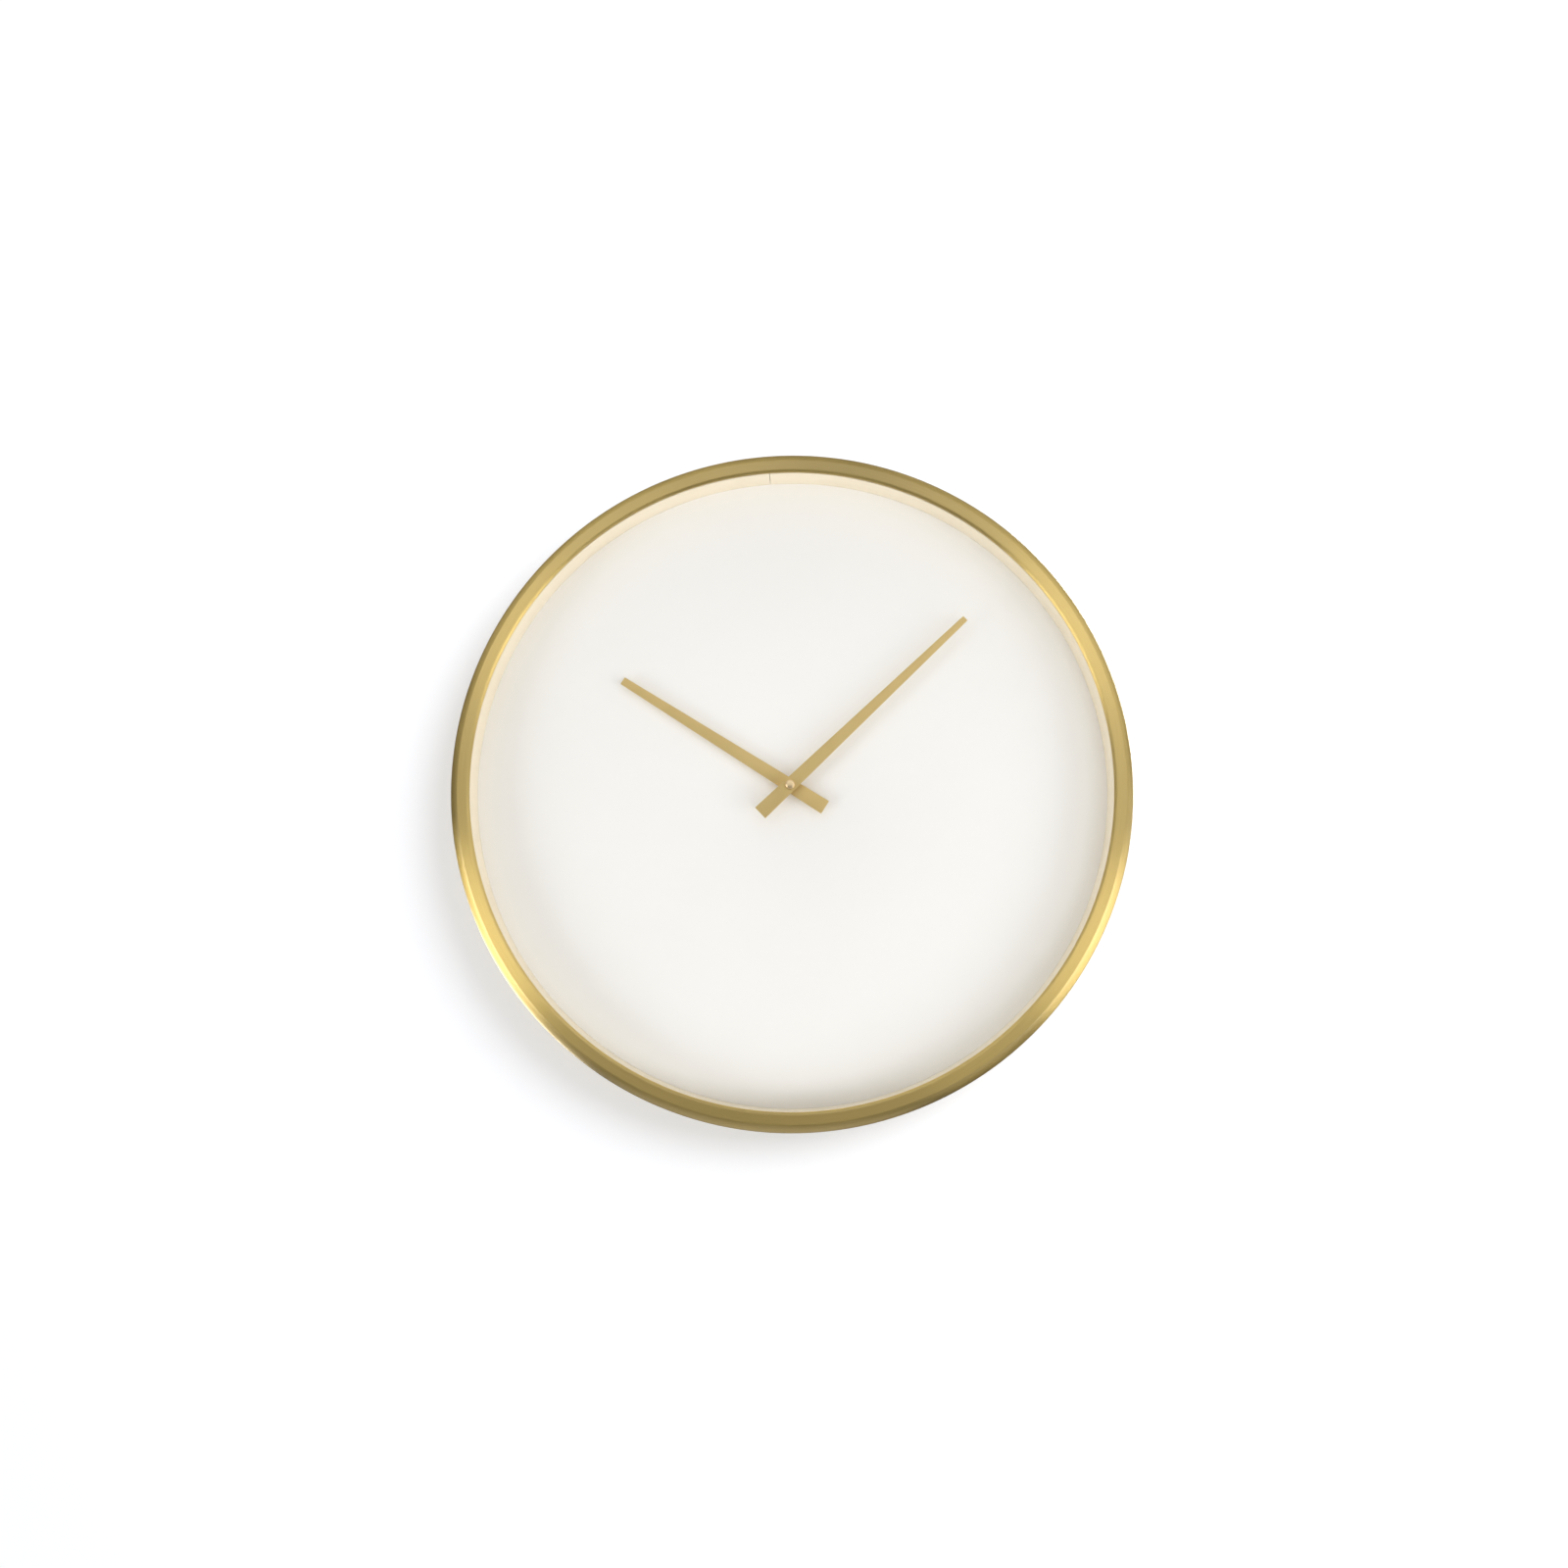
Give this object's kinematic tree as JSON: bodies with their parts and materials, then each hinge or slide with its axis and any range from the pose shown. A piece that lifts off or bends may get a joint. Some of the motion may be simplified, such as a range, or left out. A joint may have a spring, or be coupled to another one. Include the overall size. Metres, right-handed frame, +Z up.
{
  "type": "wall clock",
  "caption": "Round wall clock with a brushed brass rim, flat glass over a blank white dial, two tapered brass baton hands and a battery quartz movement behind.",
  "frame": {"origin": "on the hand axis, in the plane of the wall that the rear hem of the rim lies against", "axes": "+Z up, +X to the right seen from the front, the dial faces -Y and the wall is the plane Y = 0"},
  "size_m": [0.5, 0.05, 0.5],
  "materials": {
    "rim_brass": "satin, brushed round the ring",
    "black_foam": "matte closed-cell foam",
    "clear_glass": "polished flat float glass",
    "cream_liner": "matte extruded strip",
    "dial_white": "fine matte paint",
    "fibreboard": "raw medium-density fibreboard",
    "zinc_steel": "zinc plated, slightly dull",
    "hand_brass": "flat, very fine satin",
    "cap_brass": "turned and polished",
    "turned_brass": "turned",
    "black_rubber": "matte",
    "black_plastic": "moulded, fine spark texture",
    "natural_plastic": "moulded acetal",
    "dark_magnet": "sintered",
    "motor_iron": "stamped soft iron",
    "copper_wire": "enamelled copper wire, wound",
    "green_board": "solder mask",
    "battery_sleeve": "printed shrink sleeve, no lettering"
  },
  "bodies": {
    "case": {"rim": "rim_brass", "gasket": "black_foam", "glass": "clear_glass", "spacer_strip": "cream_liner", "dial": "dial_white", "dial_board": "fibreboard", "clip_1": "zinc_steel", "clip_2": "zinc_steel", "clip_3": "zinc_steel", "clip_4": "zinc_steel", "clip_5": "zinc_steel", "clip_6": "zinc_steel", "clip_screws": "zinc_steel", "hanger_bracket": "zinc_steel", "hanger_screws": "zinc_steel", "fixing_nut": "turned_brass", "nut_washer": "turned_brass", "rubber_washer": "black_rubber", "movement_housing": "black_plastic", "threaded_bush": "turned_brass", "rear_cover": "black_plastic", "middle_plate": "natural_plastic", "stator": "motor_iron", "coil_core": "motor_iron", "coil_bobbin": "natural_plastic", "coil_winding": "copper_wire", "circuit_board": "green_board", "timing_chip": "black_plastic", "quartz_crystal": "zinc_steel", "battery": "battery_sleeve", "contact_negative": "zinc_steel", "contact_positive": "zinc_steel"},
    "minute_hand_group": {"minute_tube": "turned_brass", "minute_hand": "hand_brass", "minute_collet": "hand_brass", "hand_cap": "cap_brass"},
    "hour_hand_group": {"hour_wheel": "natural_plastic", "hour_hand": "hand_brass", "hour_collet": "hand_brass"},
    "motion_gear": {"minute_wheel": "natural_plastic"},
    "setting_shaft": {"setting_knob": "black_plastic"},
    "rotor": {"rotor_magnet": "dark_magnet", "rotor_pinion": "natural_plastic"},
    "fifth_gear": {"fifth_wheel": "natural_plastic"},
    "second_gear": {"second_wheel": "natural_plastic"},
    "third_gear": {"third_wheel": "natural_plastic"},
    "centre_gear": {"centre_wheel": "turned_brass"}
  },
  "joints": [
    {"name": "minute_turn", "type": "hinge", "parent": "case", "child": "minute_hand_group", "pos_m": [0, 0, 0], "axis": [0, 1, 0], "continuous": true},
    {"name": "hour_turn", "type": "hinge", "parent": "case", "child": "hour_hand_group", "pos_m": [0, 0, 0], "axis": [0, 1, 0], "continuous": true},
    {"name": "motion_turn", "type": "hinge", "parent": "case", "child": "motion_gear", "pos_m": [-0.00693, 0, -0.004], "axis": [0, 1, 0], "continuous": true},
    {"name": "setting_turn", "type": "hinge", "parent": "case", "child": "setting_shaft", "pos_m": [-0.0152, 0, -0.00254], "axis": [0, 1, 0], "continuous": true},
    {"name": "rotor_turn", "type": "hinge", "parent": "case", "child": "rotor", "pos_m": [-0.01235, 0, 0.01542], "axis": [0, 1, 0], "continuous": true},
    {"name": "fifth_turn", "type": "hinge", "parent": "case", "child": "fifth_gear", "pos_m": [-0.00815, 0, 0.00815], "axis": [0, 1, 0], "continuous": true},
    {"name": "second_turn", "type": "hinge", "parent": "case", "child": "second_gear", "pos_m": [0, 0, 0], "axis": [0, 1, 0], "continuous": true},
    {"name": "third_turn", "type": "hinge", "parent": "case", "child": "third_gear", "pos_m": [0.00743, 0, 0.00886], "axis": [0, 1, 0], "continuous": true},
    {"name": "centre_turn", "type": "hinge", "parent": "case", "child": "centre_gear", "pos_m": [0, 0, 0], "axis": [0, 1, 0], "continuous": true}
  ],
  "couplings": [
    {"joint": "hour_turn", "follows": "minute_turn", "ratio": 0.083333},
    {"joint": "motion_turn", "follows": "minute_turn", "ratio": -0.33333},
    {"joint": "setting_turn", "follows": "minute_turn", "ratio": 0.83333},
    {"joint": "fifth_turn", "follows": "rotor_turn", "ratio": -0.16667},
    {"joint": "second_turn", "follows": "rotor_turn", "ratio": 0.033333},
    {"joint": "third_turn", "follows": "rotor_turn", "ratio": -0.0044444},
    {"joint": "centre_turn", "follows": "rotor_turn", "ratio": 0.00055556}
  ]
}
